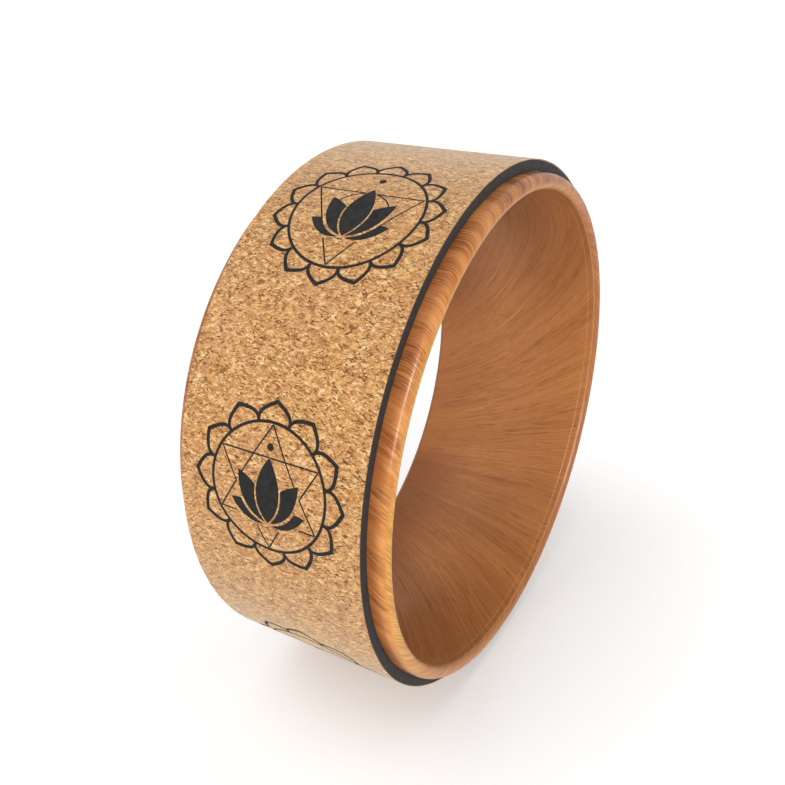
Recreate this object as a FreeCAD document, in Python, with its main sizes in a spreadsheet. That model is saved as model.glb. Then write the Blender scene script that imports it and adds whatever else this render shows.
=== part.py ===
import FreeCAD, Part
import Sketcher
import os

# Yoga wheel: a rigid hoop with a foam pad and a cork cover glued round it.
# Millimetres. The wheel stands on its tread: its axle line is Y, +Z is up, and the origin is its centre.

doc = FreeCAD.newDocument("yoga_wheel")

# Driving dimensions, each in a cell of the sheet under its own alias
SIZES = {
    "bore_diameter": 298.0,     # clear opening through the hoop
    "hoop_wall": 9.0,
    "hoop_width": 133.0,        # over both rims
    "rim_bevel": 3.5,           # bevel of the rim towards the bore
    "rim_land": 0.5,            # narrow flat on the crest of the rim
    "pad_width": 112.4,         # foam and cork strips, centred on the hoop
    "foam_thickness": 6.1,
    "cork_thickness": 0.5,      # a sheet so thin that its cut edge hardly shows beside the foam's
    "cork_bevel": 0.2,          # eased long edges of the cork strip
    "bond_thickness": 0.2,      # adhesive films, under the foam and under the cork
    "bond_setback": 1.0,        # the films stop this far inside the strips' long edges
    "seam_gap": 0.4,            # between the two ends of a strip, at the tread
    "seam_angle": 348.0,        # where those ends meet, in degrees from +X towards +Z
}

sheet = doc.addObject("Spreadsheet::Sheet", "sizes")
for row, (alias, size) in enumerate(SIZES.items(), start=1):
    sheet.set(f"A{row}", alias)
    sheet.set(f"B{row}", str(size))
    sheet.setAlias(f"B{row}", alias)
doc.recompute()

# Radii of the layers as expressions, from the bore outwards
BORE_RADIUS = "sizes.bore_diameter / 2"
HOOP_RADIUS = f"{BORE_RADIUS} + sizes.hoop_wall"
FOAM_BOTTOM = f"{HOOP_RADIUS} + sizes.bond_thickness"
FOAM_TOP = f"{FOAM_BOTTOM} + sizes.foam_thickness"
CORK_BOTTOM = f"{FOAM_TOP} + sizes.bond_thickness"
TREAD_RADIUS = f"{CORK_BOTTOM} + sizes.cork_thickness"

# The other derived sizes
FILM_WIDTH = "sizes.pad_width - 2 * sizes.bond_setback"
RIM_ROUNDING = "sizes.hoop_wall - sizes.rim_bevel - sizes.rim_land"
FULL_TURN = "360"
WRAP = f"360 - sizes.seam_gap / ({TREAD_RADIUS}) * 180 / pi"
TURN_TO_SEAM = "180 - sizes.seam_angle"

AXLE = FreeCAD.Vector(0, 1, 0)
SAME_SHARE = 1e-6    # two radii that differ by less than this share belong to the same edge


def section(body, inner, outer, width):
    """Sketch a rectangle in the XY plane, where X is the radius and Y runs along the axle line."""
    sketch = body.newObject("Sketcher::SketchObject", f"{body.Name}_section")
    plane = next(feature for feature in body.Origin.OriginFeatures if feature.Role == "XY_Plane")
    sketch.AttachmentSupport = [(plane, "")]
    sketch.MapMode = "FlatFace"

    low = sheet.evalExpression(inner)
    high = sheet.evalExpression(outer)
    half = sheet.evalExpression(width) / 2
    corners = [FreeCAD.Vector(x, y) for x, y in ((low, -half), (high, -half), (high, half), (low, half))]
    for start, end in zip(corners, corners[1:] + corners[:1]):
        sketch.addGeometry(Part.LineSegment(start, end))

    left_end, crown, right_end, seat = range(len(corners))
    first, last = 1, 2    # the two ends of a line, as a sketch counts them
    x_axis, origin = -1, 1
    for line, following in ((left_end, crown), (crown, right_end), (right_end, seat), (seat, left_end)):
        sketch.addConstraint(Sketcher.Constraint("Coincident", line, last, following, first))
    for line in (left_end, right_end):
        sketch.addConstraint(Sketcher.Constraint("Horizontal", line))
    sketch.addConstraint(Sketcher.Constraint("Vertical", seat))
    sketch.addConstraint(Sketcher.Constraint("Symmetric", crown, first, crown, last, x_axis))

    for kind, expression, points in (
        ("DistanceX", inner, (x_axis, origin, seat, last)),
        ("DistanceX", outer, (x_axis, origin, crown, first)),
        ("DistanceY", width, (crown, first, crown, last)),
    ):
        number = sketch.addConstraint(Sketcher.Constraint(kind, *points, sheet.evalExpression(expression)))
        sketch.setExpression(f"Constraints[{number}]", expression)
    return sketch


def turned(name, inner, outer, width, angle):
    """Turn a rectangular section about the axle line, from the seam round to the seam."""
    body = doc.addObject("PartDesign::Body", name)
    sketch = section(body, inner, outer, width)
    ring = body.newObject("PartDesign::Revolution", f"{name}_ring")
    ring.Profile = sketch
    ring.ReferenceAxis = (sketch, ["V_Axis"])
    ring.Midplane = True
    ring.setExpression("Angle", angle)
    turn = FreeCAD.Rotation(AXLE, sheet.evalExpression(TURN_TO_SEAM))
    body.Placement = FreeCAD.Placement(FreeCAD.Vector(), turn)
    body.setExpression("Placement.Rotation.Angle", TURN_TO_SEAM)
    doc.recompute()
    return body


def strip(name, bottom, top, width):
    """A strip wrapped round the wheel, whose two ends meet at the seam."""
    return turned(name, bottom, top, width, WRAP)


def break_edges(body, kind, at_radius, size):
    """Round or bevel the two edges that run round the wheel at one radius."""
    feature = body.Tip
    wanted = sheet.evalExpression(at_radius)
    edges = [
        f"Edge{number}"
        for number, edge in enumerate(feature.Shape.Edges, start=1)
        if isinstance(edge.Curve, Part.Circle) and abs(edge.Curve.Radius / wanted - 1) < SAME_SHARE
    ]
    dressing = body.newObject(f"PartDesign::{kind}", f"{body.Name}_{kind.lower()}")
    dressing.Base = (feature, edges)
    dressing.setExpression({"Fillet": "Radius", "Chamfer": "Size"}[kind], size)
    doc.recompute()


# The rigid ring. Both rims are bull-nosed: a large rounding outside, a bevel to the bore and a land between.
hoop = turned("hoop", BORE_RADIUS, HOOP_RADIUS, "sizes.hoop_width", FULL_TURN)
break_edges(hoop, "Fillet", HOOP_RADIUS, RIM_ROUNDING)
break_edges(hoop, "Chamfer", BORE_RADIUS, "sizes.rim_bevel")

# The pad, from the hoop outwards: film, foam, film and cork
hoop_bond = strip("hoop_bond", HOOP_RADIUS, FOAM_BOTTOM, FILM_WIDTH)
foam_pad = strip("foam_pad", FOAM_BOTTOM, FOAM_TOP, "sizes.pad_width")
cork_bond = strip("cork_bond", FOAM_TOP, CORK_BOTTOM, FILM_WIDTH)
cork_cover = strip("cork_cover", CORK_BOTTOM, TREAD_RADIUS, "sizes.pad_width")
break_edges(cork_cover, "Chamfer", TREAD_RADIUS, "sizes.cork_bevel")

# Nothing is written unless every feature is sound
pieces = [hoop, hoop_bond, foam_pad, cork_bond, cork_cover]
for item in doc.Objects:
    if "Invalid" in item.State or "Error" in item.State:
        raise RuntimeError(f"{item.Label} failed: {item.State}")
for piece in pieces:
    if piece.Shape.isNull() or not piece.Shape.isValid() or len(piece.Shape.Solids) != 1:
        raise RuntimeError(f"{piece.Label} is not one sound solid")

os.makedirs("parts", exist_ok=True)
for piece in pieces:
    piece.Shape.exportStep(f"parts/{piece.Label}.step")
    print(f"{piece.Label}: {piece.Shape.Volume:.0f} mm3")
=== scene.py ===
import math

import bpy
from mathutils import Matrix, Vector
from mathutils.geometry import delaunay_2d_cdt


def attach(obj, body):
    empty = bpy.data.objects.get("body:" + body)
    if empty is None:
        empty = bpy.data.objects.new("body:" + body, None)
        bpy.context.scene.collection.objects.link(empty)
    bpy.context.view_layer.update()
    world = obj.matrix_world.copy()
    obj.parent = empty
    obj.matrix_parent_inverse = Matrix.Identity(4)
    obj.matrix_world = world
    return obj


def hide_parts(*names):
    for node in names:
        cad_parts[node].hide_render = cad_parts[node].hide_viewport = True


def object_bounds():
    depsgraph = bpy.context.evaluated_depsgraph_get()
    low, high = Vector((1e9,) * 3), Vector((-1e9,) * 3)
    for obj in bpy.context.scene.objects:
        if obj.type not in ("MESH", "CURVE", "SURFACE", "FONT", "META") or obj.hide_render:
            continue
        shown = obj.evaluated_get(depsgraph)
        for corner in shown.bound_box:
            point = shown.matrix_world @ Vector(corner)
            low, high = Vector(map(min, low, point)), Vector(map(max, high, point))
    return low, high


# Yoga wheel. The axle line is Y, +Z is up, and the wheel stands on its tread.
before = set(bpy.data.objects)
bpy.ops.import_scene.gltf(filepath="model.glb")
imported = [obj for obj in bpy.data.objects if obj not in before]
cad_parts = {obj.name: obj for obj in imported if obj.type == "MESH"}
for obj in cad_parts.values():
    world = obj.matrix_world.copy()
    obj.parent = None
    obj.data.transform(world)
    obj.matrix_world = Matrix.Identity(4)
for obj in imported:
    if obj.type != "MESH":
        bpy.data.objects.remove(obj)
cad_low, cad_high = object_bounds()
scene = bpy.context.scene
scene.view_settings.view_transform = "Standard"

# Sizes of the solids, in millimetres. The layers are given as radii.
MM = 0.001
BORE = 149.0
HOOP = 158.0
FOAM_BOTTOM = 158.2
FOAM_TOP = 164.3
CORK_BOTTOM = 164.5
TREAD = 165.0
HOOP_HALF = 66.5
PAD_HALF = 56.2
RIM_BEVEL = 3.5
RIM_ROUNDING = 5.0
SEAM_ANGLE = 348.0
SEAM_GAP = 0.4

# Finer forms that only the dressed model has, in millimetres
INK_TOP = TREAD - 0.03              # the top of the print, a hair under the tread
INK_DEPTH = 0.04                    # the print stands this far out of the cork
INK_THICKNESS = 2.5 * INK_DEPTH     # the rest of it is sunk in the cork
CREASE = 58.8                       # a fine moulding step in the bore, this far from the middle
CREASE_DEPTH = 0.16
CREASE_RUN = 0.6                    # the step takes this much of the bore's length
FOAM_CROWN = 0.2                    # the cut sides of the foam swell by this much
EASED = 0.15                        # the long edges of the strips
CORK_EASED = 0.02                   # and the cork's edges towards the foam

# Rows and columns of faces. Rows across the wheel are given in millimetres from its middle.
STEPS = 480                         # columns round the wheel
BORE_ROWS = 10
CREASE_STEPS = 2
RELIEF_ROW = 61.0                   # between the crease and the rim's inner round
NOSE_STEPS = 14                     # the rim's inner round
SHOULDER_STEPS = 16                 # the rim's outer round
WALL_ROWS = (60.0, 58.5, 57.0, 55.0, 40.0, 20.0, 0.0)
SIDE_ROWS = 6                       # up the cut sides of a strip
TOP_ROWS = 24                       # across the top of a strip
TOP_SHIFT = 1.0                     # these rows lie this far to one side
TOP_MARGIN = 1.5                    # and none is nearer to an edge than this
SEAT_ROWS = (-30.0, 0.0, 30.0)      # across the bottom of a strip
SHARP_ANGLE = math.radians(35)      # edges that turn more than this look sharp


def smooth_corner(start, corner, end, steps):
    """Points of a curve that leaves start towards the corner and reaches end from it."""
    points = []
    for k in range(steps + 1):
        t = k / steps
        weights = ((1 - t) ** 2, 2 * t * (1 - t), t * t)
        points.append(tuple(sum(w * p[i] for w, p in zip(weights, (start, corner, end))) for i in (0, 1)))
    return points


def arc(centre, radius, start, end, steps):
    """Points of a circle's arc between two angles in degrees."""
    angles = [math.radians(start + (end - start) * k / steps) for k in range(steps + 1)]
    return [(centre[0] + radius * math.cos(a), centre[1] + radius * math.sin(a)) for a in angles]


def with_run(points):
    """Adds to each (radius, y) point how far along the line it is."""
    run = 0.0
    result = [(*points[0], run)]
    for before, point in zip(points, points[1:]):
        run += math.dist(before, point)
        result.append((*point, run))
    return result


def on_wheel(radius, y, angle):
    """A point of the wheel in metres, from a radius and a place across in millimetres."""
    return (radius * MM * math.cos(angle), y * MM, radius * MM * math.sin(angle))


def ring(name, profile, gap, places):
    """Turns a closed profile of (radius, y, run) points about the axle line, from the seam round to the seam.

    A gap leaves the two ends apart and closes each with a face. places(angle, radius, y, run) names the
    vectors that the materials read at the point.
    """
    half_gap = math.degrees(gap / TREAD / 2)
    columns = STEPS + 1 if gap else STEPS
    size = len(profile)
    points, marks = [], {}
    for column in range(columns):
        angle = math.radians(SEAM_ANGLE + half_gap + (360 - 2 * half_gap) * column / STEPS)
        for radius, y, run in profile:
            points.append(on_wheel(radius, y, angle))
            for key, vector in places(angle, radius, y, run).items():
                marks.setdefault(key, []).extend(vector)
    faces = []
    for column in range(STEPS):
        here, there = column * size, (column + 1) % columns * size
        for k in range(size):
            after = (k + 1) % size
            faces.append((here + k, here + after, there + after, there + k))
    if gap:
        faces.append(tuple(reversed(range(size))))
        faces.append(tuple(STEPS * size + k for k in range(size)))
    return piece(name, points, faces, marks)


def piece(name, points, faces, marks):
    """Puts a mesh in the scene as a piece of the wheel, with the vectors that its material reads."""
    mesh = bpy.data.meshes.new(name)
    mesh.from_pydata(points, [], faces)
    for key, vectors in marks.items():
        mesh.attributes.new(key, "FLOAT_VECTOR", "POINT").data.foreach_set("vector", vectors)
    mesh.update()
    mesh.shade_smooth()
    mesh.set_sharp_from_angle(angle=SHARP_ANGLE)
    item = bpy.data.objects.new(name, mesh)
    scene.collection.objects.link(item)
    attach(item, "root")
    return item


def hoop_half(crease_depth):
    """Half of the hoop's section, from the middle of the bore round a rim to the middle of the outer wall."""
    relief = BORE + crease_depth
    step = (BORE + crease_depth / 2, CREASE + CREASE_RUN / 2)
    step_in = (BORE, CREASE + CREASE_RUN / 3)
    step_out = (relief, CREASE + CREASE_RUN * 2 / 3)
    crest = HOOP - RIM_ROUNDING
    nose = crest - relief
    return with_run(
        [(BORE, CREASE * k / BORE_ROWS) for k in range(BORE_ROWS)]
        + smooth_corner((BORE, CREASE), step_in, step, CREASE_STEPS)
        + smooth_corner(step, step_out, (relief, CREASE + CREASE_RUN), CREASE_STEPS)[1:]
        + [(relief, RELIEF_ROW)]
        + arc((crest, HOOP_HALF - nose), nose, 180, 90, NOSE_STEPS)
        + arc((crest, HOOP_HALF - RIM_ROUNDING), RIM_ROUNDING, 90, 0, SHOULDER_STEPS)[1:]
        + [(HOOP, y) for y in WALL_ROWS]
    )


# The crease shows at the near rim only, so the far end of the bore runs plain up to its rim
creased = hoop_half(CREASE_DEPTH)
near_half = [(radius, -y, run) for radius, y, run in creased]
far_half = [(radius, y, -run) for radius, y, run in hoop_half(0.0)[1:-1]]
hoop_section = near_half + far_half[::-1]
EDGE_RUN = next(run for radius, y, run in creased if y >= HOOP_HALF - RIM_BEVEL + CREASE_DEPTH)
CREST_RUN = max(creased, key=lambda point: point[1])[2]

# How the printed film lies on the hoop
FILM_TURN = math.radians(-47.0)     # where the grain lies straight along the bore
FILM_DRAW = 0.235                   # how much slower the grain fans out there than on the far side
RIM_TURN = math.radians(110.0)      # where the grain lies straight across the rims
RIM_HOOK = 9.0                      # the grain bends this far round the wheel on its way over a rim
PALE_TURN = math.radians(162.0)     # where the rims are palest
FILM_REACH = 18.0                   # the film shows this far past the bore's edges, up to the pad
FRONT_REACH = 3.3                   # the rim's pale front ends this far past the crest
FRONT_SWING = 3.7                   # and more at the foot of the wheel, less at its top


def on_film(reach, angle, height):
    """A point of the printed film, laid out round a circle so that no seam shows."""
    return (reach * MM * math.cos(angle), reach * MM * math.sin(angle), height * MM)


def hoop_places(angle, radius, y, run):
    """Where a point lies on the printed film that covers the hoop, and in which zone.

    The film was drawn into the bore, so its straight grain, along the first axis, fans out there and bends
    into arches above and below. Over the rims the grain, along the third axis, slants more and more towards
    the bore. A zone holds the distance from the bore's middle and the distance past the border of the rim's
    pale front, both in millimetres, and 1 on the near half. A shade holds how pale the rims are and how high
    up in the bore it lies.
    """
    over = abs(run) - EDGE_RUN
    slant = (1 - math.cos(angle - RIM_TURN)) * over
    hook = RIM_HOOK * (1 - (1 - over / FILM_REACH) ** 3)
    border = abs(run) - (CREST_RUN + FRONT_REACH - FRONT_SWING * math.sin(angle))
    fan = angle - FILM_TURN
    fan -= FILM_DRAW * math.sin(fan)
    return {
        "bore_film": on_film(BORE * math.exp((y - HOOP_HALF) / BORE), fan, 0.0),
        "rim_film": on_film(BORE, angle + (slant + hook) / BORE, over),
        "zone": (abs(run), border, float(y < 0)),
        "shade": (0.5 + 0.5 * math.cos(angle - PALE_TURN), math.sin(angle), 0.0),
    }


def strip_places(angle, radius, y, run):
    """A strip laid flat: along, across and up through it. Its zone is the distance from its long edges."""
    along = (angle - math.radians(SEAM_ANGLE)) * TREAD
    return {"place": (along * MM, y * MM, radius * MM), "zone": (PAD_HALF - abs(y), 0.0, 0.0)}


def strip_section(bottom, top, eased_bottom, eased_top, crown):
    """A strip's section with eased edges and slightly swollen sides."""
    low, high = bottom + eased_bottom, top - eased_top
    side = []
    for k in range(SIDE_ROWS + 1):
        share = k / SIDE_ROWS
        side.append((low + (high - low) * share, PAD_HALF - crown * (2 * share - 1) ** 2))
    edge_y = side[0][1]
    right = [(bottom, edge_y - eased_bottom)] + side + [(top, edge_y - eased_top)]
    across = [PAD_HALF * (1 - 2 * k / TOP_ROWS) - TOP_SHIFT for k in range(1, TOP_ROWS)]
    top_row = [(top, y) for y in across if abs(y) < PAD_HALF - TOP_MARGIN]
    left = [(radius, -y) for radius, y in reversed(right)]
    bottom_row = [(bottom, y) for y in SEAT_ROWS]
    loop = right + top_row + left + bottom_row
    return with_run([(radius, -y) for radius, y in loop])


foam_section = strip_section(FOAM_BOTTOM, FOAM_TOP, EASED, EASED, FOAM_CROWN)
cork_section = strip_section(CORK_BOTTOM, INK_TOP - INK_DEPTH, CORK_EASED, EASED, 0.0)
hoop = ring("hoop_skin", hoop_section, 0.0, hoop_places)
foam = ring("foam_strip", foam_section, SEAM_GAP, strip_places)
cork = ring("cork_sheet", cork_section, SEAM_GAP, strip_places)


# The print: line ornaments of petals round a ring, with a plain geometric figure and a blossom inside.
# A drawing is a list of (polygon, inked) layers in millimetres, where x runs down the tread and y across it.
# Each layer covers those before it, and a layer that isn't inked clears them.
LINE = 1.55                         # the petals' outlines
RING_LINE = 1.6
HAIRLINE = 0.85
TIP_LINE = 1.6 * LINE               # the outline is this thick at a petal's tip
PETAL_OVERLAP = 0.15 * LINE         # neighbouring petals overlap by twice this
BLOSSOM_GAP = 1.1                   # bare line round each leaf of a blossom
DOT = 2.0                           # a dot's radius
CURVE_STEPS = 12                    # straight pieces in each side of a petal or leaf
TRIANGLE = (0, 120, 240)            # corners of the figures, as directions in degrees
TRIANGLE_BACK = (60, 180, 300)
TRIANGLE_WIDE = (0, 117, -117)
SQUARE = (45, 135, 225, 315)


def anticlockwise(polygon):
    """The polygon, turned round if it runs clockwise."""
    area = sum(a[0] * b[1] - b[0] * a[1] for a, b in zip(polygon, polygon[1:] + polygon[:1]))
    return polygon if area > 0 else polygon[::-1]


def disc(radius, x=0.0):
    """A circle as a polygon, with more corners the larger it is."""
    steps = max(24, int(radius * 3))
    return arc((x, 0.0), radius, 0, 360 - 360 / steps, steps - 1)


def circle(radius, width, x=0.0):
    """A circle drawn in line."""
    return [(disc(radius + width / 2, x), True), (disc(radius - width / 2, x), False)]


def stroke(a, b, width):
    """A straight line with square ends."""
    along = Vector((b[0] - a[0], b[1] - a[1])).normalized()
    side = Vector((-along.y, along.x)) * (width / 2)
    a, b = Vector(a), Vector(b)
    return [tuple(p) for p in (a - side, b - side, b + side, a + side)]


def polar(radius, degrees):
    """A point at a distance and in a direction from the middle."""
    return (radius * math.cos(math.radians(degrees)), radius * math.sin(math.radians(degrees)))


def bezier(p0, p1, p2, p3, steps):
    """Points of a curve from p0 to p3 that p1 and p2 draw towards them."""
    points = []
    for k in range(steps + 1):
        t = k / steps
        weights = ((1 - t) ** 3, 3 * t * (1 - t) ** 2, 3 * t * t * (1 - t), t ** 3)
        points.append(tuple(sum(w * p[i] for w, p in zip(weights, (p0, p1, p2, p3))) for i in (0, 1)))
    return points


def turn(points, degrees):
    """The points, turned about the middle."""
    c, s = math.cos(math.radians(degrees)), math.sin(math.radians(degrees))
    return [(x * c - y * s, x * s + y * c) for x, y in points]


def arch(foot, tip, half_width, degrees):
    """A pointed arch whose sides swell a little above the ring and then close in to the tip."""
    rise = tip - foot
    swell = (foot + 0.45 * rise, 1.40 * half_width)
    neck = (foot + 0.78 * rise, 0.58 * half_width)
    side = bezier((foot, half_width), swell, neck, (tip, 0.0), CURVE_STEPS)
    return turn(side + [(x, -y) for x, y in side[-2::-1]], degrees)


def petals(count, radius, tip, first=0, half_angle=None):
    """A wreath of petals drawn in line on a ring."""
    half = math.radians(half_angle or 180 / count)
    foot = radius * math.cos(half)
    half_width = radius * math.sin(half) + PETAL_OVERLAP
    directions = [first + 360 * k / count for k in range(count)]
    layers = [(arch(foot, tip, half_width, d), True) for d in directions]
    layers += [(arch(foot, tip - TIP_LINE, half_width - LINE, d), False) for d in directions]
    return layers + circle(radius, RING_LINE)


def star(radius, directions):
    """A closed figure of thin straight lines through points on a circle, one for each direction."""
    corners = [polar(radius, d) for d in directions]
    return [(stroke(a, b, HAIRLINE), True) for a, b in zip(corners, corners[1:] + corners[:1])]


def leaf(length, half_width, degrees, foot):
    """A pointed leaf that grows from its foot, for the blossom."""
    belly = (0.28 * length, 1.35 * half_width)
    shoulder = (0.70 * length, 1.05 * half_width)
    side = bezier((0, 0), belly, shoulder, (length, 0), CURVE_STEPS)
    points = turn(side + [(x, -y) for x, y in side[-2:0:-1]], degrees)
    return [(x + foot, y) for x, y in points]


def blossom(foot, size):
    """A solid lotus blossom seen from the side, opening towards the top of the ornament."""
    layers = []
    gap = BLOSSOM_GAP
    for lean, length_share, width_share in ((68, 0.68, 0.15), (36, 0.88, 0.19), (0, 1.0, 0.22)):
        length, half_width = size * length_share, size * width_share
        for sign in (-1, 1) if lean else (1,):
            degrees = 180 + sign * lean
            layers.append((leaf(length + 1.5 * gap, half_width + gap, degrees, foot + gap), False))
            layers.append((leaf(length, half_width, degrees, foot), True))
    return layers


def dot(x):
    """A round dot above the blossom."""
    return [(disc(DOT, x), True)]


def crescent(radius):
    """A lying moon under a thin circle."""
    moon = radius - 1.5
    return circle(radius, HAIRLINE) + [(disc(moon, 1.0), True), (disc(moon, -5.0), False)]


# The ornaments from the crown down, each with its place on the tread, counted from the twelve-petal one
ORNAMENTS = (
    (-3, petals(20, radius=36.5, tip=47.5) + circle(31.5, HAIRLINE)
     + blossom(foot=15.0, size=34.0) + dot(-25.5)),
    (-2, petals(2, radius=25.0, tip=47.5, first=90, half_angle=52) + star(23.8, TRIANGLE)
     + blossom(foot=9.0, size=22.0)),
    (-1, petals(14, radius=36.7, tip=48.15) + circle(17.5, HAIRLINE, 1.5) + star(35.4, TRIANGLE_WIDE)
     + blossom(foot=17.0, size=37.0) + dot(-28.4)),
    (0, petals(12, radius=34.9, tip=46.5) + star(33.9, TRIANGLE) + star(33.9, TRIANGLE_BACK)
     + blossom(foot=19.0, size=36.0) + dot(-22.5)),
    (1, petals(10, radius=36.0, tip=47.3) + star(34.8, TRIANGLE) + blossom(foot=12.0, size=30.0)),
    (2, petals(6, radius=33.5, tip=47.5) + crescent(27.0) + blossom(foot=13.0, size=30.0)),
    (3, petals(4, radius=30.5, tip=47.5) + star(29.6, SQUARE) + star(21.0, TRIANGLE)
     + blossom(foot=8.0, size=24.0)),
)
PITCH = 53.28                       # degrees round the wheel from one ornament to the next
MIDDLE = 169.69                     # where the twelve-petal one lies
PRINT_Y = -0.7                      # the ornaments' middles, across the tread
INK_CELL = 2.5                      # no face of the print is longer than this round the wheel
INK_REACH = 60.0                    # an ornament lies within this of its middle
CELL_SHIFT = 0.313                  # keeps the cuts between cells off the corners of the drawings
MERGE = 1e-5                        # points nearer than this are one
ALL_TRIANGLES = 0                   # the kind of answer that is wanted from the cutting


def inked_triangles(layers):
    """Cuts all the layers into triangles that don't overlap, and keeps the inked ones."""
    points, faces, edges = [], [], []
    for polygon, _ in layers:
        start = len(points)
        points += [Vector(p) for p in anticlockwise(polygon)]
        faces.append(list(range(start, len(points))))
    for k in range(int(2 * INK_REACH / INK_CELL) + 1):
        x = k * INK_CELL - INK_REACH + CELL_SHIFT
        edges.append((len(points), len(points) + 1))
        points += [Vector((x, -INK_REACH)), Vector((x, INK_REACH))]
    flat, _, triangles, _, _, sources = delaunay_2d_cdt(points, edges, faces, ALL_TRIANGLES, MERGE)
    kept = [t for t, source in zip(triangles, sources) if source and layers[max(source)][1]]
    return flat, kept


def printed(name):
    """One thin solid layer of ink for all the ornaments, wrapped on the cork."""
    points, faces, positions = [], [], []
    for place, layers in ORNAMENTS:
        flat, triangles = inked_triangles(layers)
        used = sorted({k for t in triangles for k in t})
        start, count = len(points), len(used)
        number = {k: start + i for i, k in enumerate(used)}
        middle = math.radians(MIDDLE + PITCH * place)
        for radius in (INK_TOP, INK_TOP - INK_THICKNESS):
            for k in used:
                angle = middle + flat[k].x / TREAD
                y = PRINT_Y + flat[k].y
                points.append(on_wheel(radius, y, angle))
                positions.extend((angle * TREAD * MM, y * MM, radius * MM))
        border = {}
        for t in triangles:
            a, b, c = (number[k] for k in t)
            faces.append((a, c, b))
            faces.append((a + count, b + count, c + count))
            for pair in ((a, b), (b, c), (c, a)):
                if pair[::-1] in border:
                    del border[pair[::-1]]
                else:
                    border[pair] = True
        faces += [(a, b, b + count, a + count) for a, b in border]
    return piece(name, points, faces, {"place": positions})


ink = printed("cork_print")


def srgb(red, green, blue):
    """A colour as it is named on screen, from 0 to 255, as the linear one that a shader takes."""
    shares = [v / 255 for v in (red, green, blue)]
    return tuple(s / 12.92 if s <= 0.04045 else ((s + 0.055) / 1.055) ** 2.4 for s in shares) + (1.0,)


class Finish:
    """A node material. Each method adds nodes and gives back their output. Scales are per metre."""

    def __init__(self, name):
        self.material = bpy.data.materials.new(name)
        self.material.use_nodes = True
        self.tree = self.material.node_tree
        self.surface = self.tree.nodes["Principled BSDF"]

    def add(self, kind, inputs, output=0, **settings):
        node = self.tree.nodes.new(kind)
        for key, value in settings.items():
            setattr(node, key, value)
        for key, value in inputs.items():
            self.feed(node.inputs[key], value)
        return node.outputs[output]

    def feed(self, socket, value):
        if isinstance(value, bpy.types.NodeSocket):
            self.tree.links.new(value, socket)
        else:
            socket.default_value = value

    def mark(self, name):
        return self.add("ShaderNodeAttribute", {}, "Vector", attribute_name=name)

    def parts(self, vector):
        return self.add("ShaderNodeSeparateXYZ", {0: vector}).node.outputs

    def vectors(self, operation, a, b):
        return self.add("ShaderNodeVectorMath", {0: a, 1: b}, operation=operation)

    def turned(self, vector, degrees, stretch):
        """The vector in axes turned about Z, where a pattern is stretched along X."""
        inputs = {
            "Vector": vector, "Rotation": (0.0, 0.0, math.radians(degrees)), "Scale": (stretch, 1.0, 1.0),
        }
        return self.add("ShaderNodeMapping", inputs, vector_type="TEXTURE")

    def noise(self, vector, scale, detail=2.0, roughness=0.5, output="Fac"):
        inputs = {"Vector": vector, "Scale": scale, "Detail": detail, "Roughness": roughness}
        return self.add("ShaderNodeTexNoise", inputs, output)

    def fibres(self, vector, squeeze, scale, detail=2.0, roughness=0.5):
        """A noise that is drawn out along the axis whose squeeze is small."""
        return self.noise(self.vectors("MULTIPLY", vector, squeeze), scale, detail, roughness)

    def cells(self, vector, scale, output="Color"):
        return self.add("ShaderNodeTexVoronoi", {"Vector": vector, "Scale": scale}, output)

    def math(self, operation, a, b=0.0):
        return self.add("ShaderNodeMath", {0: a, 1: b}, operation=operation)

    def times(self, a, b):
        return self.math("MULTIPLY", a, b)

    def less(self, a, b):
        return self.math("SUBTRACT", a, b)

    def larger(self, a, b):
        return self.math("MAXIMUM", a, b)

    def distance(self, a, b):
        return self.math("ABSOLUTE", self.less(a, b))

    def weighted(self, first, *others):
        """The sum of (value, weight) pairs."""
        total = self.times(*first)
        for pair in others:
            total = self.math("ADD", total, self.times(*pair))
        return total

    def rise(self, value, low, high, start=0.0, end=1.0):
        """Goes smoothly from start to end while the value goes from low to high."""
        inputs = {"Value": value, "From Min": low, "From Max": high, "To Min": start, "To Max": end}
        return self.add("ShaderNodeMapRange", inputs, interpolation_type="SMOOTHSTEP")

    def ramp(self, value, positions, *colours):
        """Colours, as they are named on screen, at positions from 0 to 1."""
        output = self.add("ShaderNodeValToRGB", {"Fac": value})
        elements = output.node.color_ramp.elements
        while len(elements) < len(positions):
            elements.new(1.0)
        for element, position, colour in zip(elements, positions, colours):
            element.position = position
            element.color = srgb(*colour)
        return output

    def blend(self, factor, a, b):
        return self.add("ShaderNodeMix", {0: factor, 6: a, 7: b}, 2, data_type="RGBA")

    def wobbled(self, vector, scale, amount):
        """The vector, pushed about by a soft noise."""
        push = self.noise(vector, scale, output="Color")
        centred = self.vectors("SUBTRACT", push, (0.5, 0.5, 0.5))
        return self.vectors("ADD", self.vectors("MULTIPLY", centred, (amount,) * 3), vector)

    def bump(self, height, strength, distance):
        inputs = {"Height": height, "Strength": strength, "Distance": distance}
        self.feed(self.surface.inputs["Normal"], self.add("ShaderNodeBump", inputs))

    def set(self, **inputs):
        for key, value in inputs.items():
            self.feed(self.surface.inputs[key.replace("_", " ")], value)
        return self.material


BORE_END = 60.0                     # the shades along the bore are settled this far from its middle
PALE_ZONE = (0.68, 0.97)            # the rims go from deep to pale between these values of a shade
NOISE_MIDDLE = (0.3, 0.7)           # most of a noise lies between these


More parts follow.
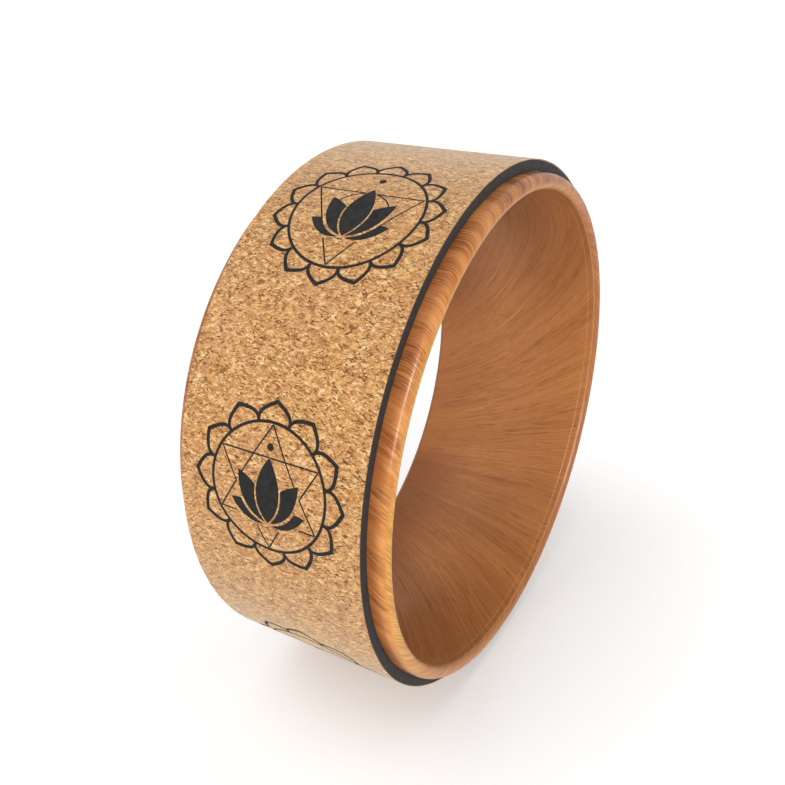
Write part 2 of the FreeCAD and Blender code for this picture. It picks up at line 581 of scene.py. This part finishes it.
def bore_grain(f, near_run, far_run, height):
    """The film's colour in the bore, with its streaks and pores, and painted shade at the far end and at the
    top.

    It depends on the distance from the bore's middle, on the near and on the far half, and on the height.
    """
    pore_brown = srgb(104, 58, 28)
    film = f.wobbled(f.mark("bore_film"), 22.0, 0.004)
    figure = f.fibres(film, (0.05, 1.0, 1.0), 90.0, 3.0, 0.55)
    streak = f.fibres(film, (0.016, 1.0, 1.0), 860.0, 3.0, 0.6)
    pore = f.rise(f.fibres(film, (0.018, 1.0, 1.0), 2000.0, 2.0, 0.6), 0.54, 0.66)
    fleck = f.rise(f.fibres(film, (0.08, 1.0, 1.0), 2400.0, 1.0), 0.55, 0.68)
    tone = f.weighted((figure, 0.5), (streak, 0.5))
    browns = ((156, 98, 54), (176, 113, 64), (188, 124, 71), (200, 137, 81))
    colour = f.ramp(tone, (0.28, 0.43, 0.57, 0.75), *browns)
    colour = f.blend(f.times(fleck, 0.20), colour, pore_brown)

    # Painted shade makes the far end darker and the top grey-brown, and a dark band lies low down
    far_painted_shade = f.rise(height, -0.1, 0.25, f.rise(height, -0.75, -0.6, 0.75, 0.38), 0.75)
    colour = f.blend(f.rise(far_run, 0.0, BORE_END, 0.0, far_painted_shade), colour, srgb(120, 64, 24))
    top_painted_shade = f.rise(near_run, 20.0, BORE_END, 0.75, 0.35)
    colour = f.blend(f.rise(height, -0.05, 0.85, 0.0, top_painted_shade), colour, srgb(128, 84, 57))
    band = f.rise(height, -0.97, -0.87, 0.0, f.rise(height, -0.64, -0.77, 0.0, 0.22))
    colour = f.blend(f.times(band, f.rise(near_run, 10.0, 50.0, 1.0, 0.3)), colour, pore_brown)
    pore_shade = f.rise(near_run, 0.0, BORE_END, 0.42, 0.25)
    colour = f.blend(f.times(pore, pore_shade), colour, pore_brown)
    return colour, streak, pore


def rim_grain(f, border, pale):
    """The film's colours on the front of the rims and on their shoulders, with painted shade by the pad, and
    the fine grain of the front.
    """
    rim = f.wobbled(f.mark("rim_film"), 60.0, 0.002)
    group = f.fibres(rim, (1.0, 1.0, 0.15), 150.0, 3.0, 0.5)
    fine = f.fibres(rim, (1.0, 1.0, 0.05), 620.0, 2.0, 0.6)
    patch = f.fibres(rim, (1.0, 1.0, 0.3), 70.0, 1.0)
    lines = f.rise(f.fibres(rim, (1.0, 1.0, 0.03), 1500.0, 1.0, 0.5), 0.55, 0.43)
    lines = f.times(lines, f.rise(border, -2.0, 8.0, 0.34, 0.72))
    lines = f.times(lines, f.rise(patch, 0.40, 0.60, 0.35, 1.0))

    positions = (0.34, 0.50, 0.66)
    pale_side = f.ramp(group, positions, (193, 119, 59), (209, 139, 73), (223, 156, 87))
    # Darker towards the pad: partly the film's deeper tone there, partly painted shade in the corner against
    # the foam
    pale_side = f.blend(f.rise(border, 0.0, 9.0, 0.0, 0.60), pale_side, srgb(148, 76, 35))
    pale_side = f.blend(lines, pale_side, srgb(106, 52, 20))
    deep_side = f.ramp(group, (0.36, 0.50, 0.64), (146, 88, 51), (175, 112, 65), (194, 131, 76))
    deep_side = f.blend(lines, deep_side, srgb(80, 44, 24))

    pale_front = f.ramp(fine, positions, (188, 126, 58), (208, 148, 72), (226, 172, 94))
    mild_front = f.ramp(fine, positions, (168, 108, 60), (185, 125, 74), (200, 141, 90))
    deep_front = f.ramp(fine, positions, (145, 85, 45), (163, 102, 58), (179, 118, 71))
    deep_front = f.blend(f.rise(pale, 0.15, 0.55), deep_front, mild_front)

    paleness = f.rise(pale, *PALE_ZONE)
    front = f.blend(paleness, deep_front, pale_front)
    side = f.blend(paleness, deep_side, pale_side)
    return front, side, fine


def wood_film():
    """Printed wood grain: brown in the bore, pale on the rims' front and streaked on their shoulders, with
    painted shade and highlights.
    """
    f = Finish("wood_film")
    run, border, near = f.parts(f.mark("zone"))
    pale, height, _ = f.parts(f.mark("shade"))
    bore, streak, pore = bore_grain(f, f.times(run, near), f.times(run, f.less(1.0, near)), height)
    front, side, fine = rim_grain(f, border, pale)

    colour = f.blend(f.rise(run, EDGE_RUN - 0.8, EDGE_RUN + 1.0), bore, front)
    frayed_border = f.math("ADD", border, f.times(f.less(fine, 0.5), 7.0))
    colour = f.blend(f.rise(frayed_border, -0.8, 1.2), colour, side)

    # Painted highlight on the rims' inner edges and on the crease on the near half, and painted shade on the
    # rims' inner edges on the far half
    edge_width = f.rise(pale, *PALE_ZONE, 0.8, 4.5)
    edge_share = f.rise(pale, *PALE_ZONE, 0.20, 0.95)
    on_edge = f.rise(f.distance(run, EDGE_RUN), edge_width, 0.2, 0.0, edge_share)
    on_crease = f.rise(f.distance(run, CREASE + CREASE_RUN / 2), 0.6, 0.1, 0.0, 0.06)
    painted_edge_light_and_shade = f.larger(on_edge, f.times(on_crease, near))
    colour = f.blend(painted_edge_light_and_shade, colour, f.blend(near, srgb(92, 52, 32), srgb(246, 192, 128)))
    f.bump(f.less(streak, pore), 0.05, 0.0002)
    return f.set(
        Base_Color=colour, Roughness=f.rise(streak, *NOISE_MIDDLE, 0.48, 0.38), Specular_IOR_Level=0.15,
        Coat_Weight=0.25, Coat_Roughness=0.22,
    )


def cork_grain():
    """Agglomerated cork: packed flakes of several tans, with pale chips, bark specks and dark joints."""
    f = Finish("cork_grain")
    place = f.wobbled(f.mark("place"), 460.0, 0.0010)
    leaning = f.cells(f.turned(place, 100.0, 2.6), 660.0)
    crossed = f.cells(f.turned(place, 60.0, 2.4), 660.0)
    region = f.rise(f.noise(place, 190.0), 0.48, 0.52)
    flake_tone, flake_kind, _ = f.parts(f.blend(region, leaning, crossed))
    crumb_tone, crumb_kind, _ = f.parts(f.cells(f.turned(place, 90.0, 1.6), 1500.0))

    soft = f.noise(place, 260.0, 2.0, 0.6)
    tone = f.weighted((flake_tone, 0.38), (crumb_tone, 0.34), (soft, 0.28))
    tans = ((160, 103, 57), (192, 138, 81), (204, 153, 94), (226, 184, 126))
    colour = f.ramp(tone, (0.22, 0.42, 0.56, 0.78), *tans)
    drift = f.rise(f.noise(place, 28.0), *NOISE_MIDDLE, 0.0, 0.26)
    colour = f.blend(drift, colour, srgb(206, 154, 112))
    pale_flake = f.rise(flake_kind, 0.90, 0.94, 0.0, 0.52)
    pale_crumb = f.rise(crumb_kind, 0.94, 0.96, 0.0, 0.55)
    colour = f.blend(f.larger(pale_flake, pale_crumb), colour, srgb(248, 216, 158))
    bark_flake = f.rise(flake_kind, 0.03, 0.01, 0.0, 0.60)
    bark_crumb = f.rise(crumb_kind, 0.04, 0.02, 0.0, 0.85)
    bark = f.larger(bark_flake, bark_crumb)
    colour = f.blend(bark, colour, srgb(84, 44, 16))

    # Joints are short dashes across the strip, in loose clusters
    joint = 0.0
    for lean in (65.0, 90.0, 120.0):
        dash = f.rise(f.noise(f.turned(place, lean, 5.0), 1080.0, 1.0), 0.61, 0.68)
        joint = f.larger(joint, dash)
    cluster = f.rise(f.noise(place, 170.0, 1.0), 0.40, 0.60, 0.50, 1.0)
    joint = f.times(joint, cluster)
    colour = f.blend(f.times(joint, 0.92), colour, srgb(96, 50, 8))
    from_edge = f.parts(f.mark("zone"))[0]
    colour = f.blend(f.rise(from_edge, 0.14, 0.02, 0.0, 0.8), colour, srgb(84, 56, 34))
    f.bump(f.less(flake_tone, f.larger(joint, bark)), 0.40, 0.0003)
    return f.set(
        Base_Color=colour, Roughness=f.rise(tone, *NOISE_MIDDLE, 0.80, 0.62), Specular_IOR_Level=0.15,
        Sheen_Weight=0.75, Sheen_Roughness=0.4, Sheen_Tint=srgb(255, 244, 224),
    )


def closed_cell_foam():
    """Matte charcoal foam with fine cells."""
    f = Finish("closed_cell_foam")
    place = f.mark("place")
    cells = f.cells(place, 2600.0, "Distance")
    mottle = f.noise(place, 420.0, 4.0, 0.6)
    colour = f.ramp(mottle, NOISE_MIDDLE, (27, 26, 25), (38, 36, 34))
    colour = f.blend(f.rise(cells, 0.5, 0.1, 0.0, 0.35), colour, srgb(22, 21, 20))
    f.bump(cells, 0.25, 0.0001)
    return f.set(Base_Color=colour, Roughness=f.rise(mottle, *NOISE_MIDDLE, 0.86, 0.74))


def printing_ink():
    """Matte black ink that sinks into the cork's pores here and there."""
    f = Finish("printing_ink")
    place = f.mark("place")
    sunk = f.rise(f.noise(place, 1300.0, 3.0, 0.6), 0.60, 0.74)
    mottle = f.noise(place, 300.0, 3.0, 0.6)
    colour = f.ramp(mottle, NOISE_MIDDLE, (24, 24, 24), (36, 35, 34))
    colour = f.blend(f.times(sunk, 0.25), colour, srgb(84, 64, 46))
    f.bump(f.less(mottle, sunk), 0.25, 0.0002)
    roughness = f.rise(mottle, *NOISE_MIDDLE, 0.75, 0.62)
    return f.set(Base_Color=colour, Roughness=roughness, Specular_IOR_Level=0.2)


def adhesive_film():
    """Cream contact adhesive with a brushed, streaky thickness."""
    f = Finish("adhesive_film")
    place = f.add("ShaderNodeTexCoord", {}, "Object")
    streak = f.fibres(place, (1.0, 0.2, 1.0), 300.0, 4.0, 0.6)
    colour = f.ramp(streak, NOISE_MIDDLE, (196, 186, 160), (226, 218, 196))
    f.bump(streak, 0.3, 0.0002)
    return f.set(Base_Color=colour, Roughness=f.rise(streak, *NOISE_MIDDLE, 0.45, 0.30))


for item, finish, slot_name, nodes in (
    (hoop, wood_film(), "wood_grain", ("hoop",)),
    (foam, closed_cell_foam(), "foam", ("foam_pad",)),
    (cork, cork_grain(), "cork", ("cork_cover",)),
    (ink, printing_ink(), "ink", ()),
):
    item.data.materials.append(finish)
    if nodes:
        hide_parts(*nodes)

glue = adhesive_film()
for node_name in ("hoop_bond", "cork_bond"):
    for material_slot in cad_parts[node_name].material_slots:
        material_slot.material = glue


# Stage: a wide pale floor that keeps the wheel's shadow, and a white surround
FLOOR_HALF = 30.0                   # metres
FLOOR_SHADE = (0.86, 0.86, 0.86, 1.0)
FLOOR_LIFT = 0.32                   # what the floor glows by where it is seen directly
WORLD_LIGHT = 0.50                  # the surround's strength as a light
WORLD_WHITE = 1.0                   # and where it is seen directly
WHITE = (1.0, 1.0, 1.0, 1.0)

floor_corners = [(x * FLOOR_HALF, y * FLOOR_HALF, cad_low.z) for x, y in ((-1, -1), (1, -1), (1, 1), (-1, 1))]
floor_mesh = bpy.data.meshes.new("floor")
floor_mesh.from_pydata(floor_corners, [], [(0, 1, 2, 3)])
floor = bpy.data.objects.new("floor", floor_mesh)
scene.collection.objects.link(floor)


def seen_directly(tree):
    """1 for rays that show the background: from the camera, off gloss or through glass."""
    path = tree.nodes.new("ShaderNodeLightPath")
    total = path.outputs["Is Camera Ray"]
    for name in ("Is Glossy Ray", "Is Transmission Ray"):
        either = tree.nodes.new("ShaderNodeMath")
        either.operation = "MAXIMUM"
        tree.links.new(total, either.inputs[0])
        tree.links.new(path.outputs[name], either.inputs[1])
        total = either.outputs[0]
    return total


def floor_finish():
    """White paper: its own shade and shadow, lifted to white for the camera."""
    f = Finish("floor_paper")
    f.set(Base_Color=FLOOR_SHADE, Roughness=0.9, Specular_IOR_Level=0.0)
    lift = f.times(seen_directly(f.tree), FLOOR_LIFT)
    glow = f.add("ShaderNodeEmission", {"Color": WHITE, "Strength": lift})
    lifted = f.add("ShaderNodeAddShader", {0: f.surface.outputs[0], 1: glow})
    f.feed(f.tree.nodes["Material Output"].inputs["Surface"], lifted)
    return f.material


floor_mesh.materials.append(floor_finish())

world = bpy.data.worlds.new("studio")
world.use_nodes = True
scene.world = world
background = world.node_tree.nodes["Background"]
strength = world.node_tree.nodes.new("ShaderNodeMapRange")
strength.inputs["To Min"].default_value = WORLD_LIGHT
strength.inputs["To Max"].default_value = WORLD_WHITE
world.node_tree.links.new(seen_directly(world.node_tree), strength.inputs["Value"])
world.node_tree.links.new(strength.outputs[0], background.inputs["Strength"])
background.inputs["Color"].default_value = WHITE


def lamp(name, towards, spread, power):
    """A soft distant lamp that shines from one direction, with a spread in degrees."""
    data = bpy.data.lights.new(name, "SUN")
    data.angle = math.radians(spread)
    data.energy = power
    item = bpy.data.objects.new(name, data)
    item.rotation_euler = Vector(towards).to_track_quat("Z", "Y").to_euler()
    scene.collection.objects.link(item)
    return item


# The key and top lamps give the shading, and the glint lamps only the long highlight on the rim
lamp("key", towards=(-0.68, -0.70, 0.09), spread=16.0, power=2.3).visible_glossy = False
lamp("top", towards=(-0.35, 0.15, 1.0), spread=40.0, power=1.0).visible_glossy = False
lamp("high_glint", towards=(-0.63, -0.54, 0.56), spread=16.0, power=2.3).visible_diffuse = False
lamp("low_glint", towards=(-0.81, -0.54, 0.24), spread=16.0, power=1.7).visible_diffuse = False

# The camera looks down on the near rim from the left
CAMERA_PLACE = (-0.43783, -0.23998, 0.25889)
CAMERA_TILT = math.radians(60.907)
CAMERA_PAN = math.radians(-60.373)
camera_data = bpy.data.cameras.new("camera")
camera_data.sensor_width = 36.0
camera_data.lens = 39.03
camera_data.shift_x = -0.0237
camera_data.shift_y = 0.0564
camera_data.clip_end = 100.0
camera = bpy.data.objects.new("camera", camera_data)
camera.location = CAMERA_PLACE
camera.rotation_euler = (CAMERA_TILT, 0.0, CAMERA_PAN)
scene.collection.objects.link(camera)
scene.camera = camera
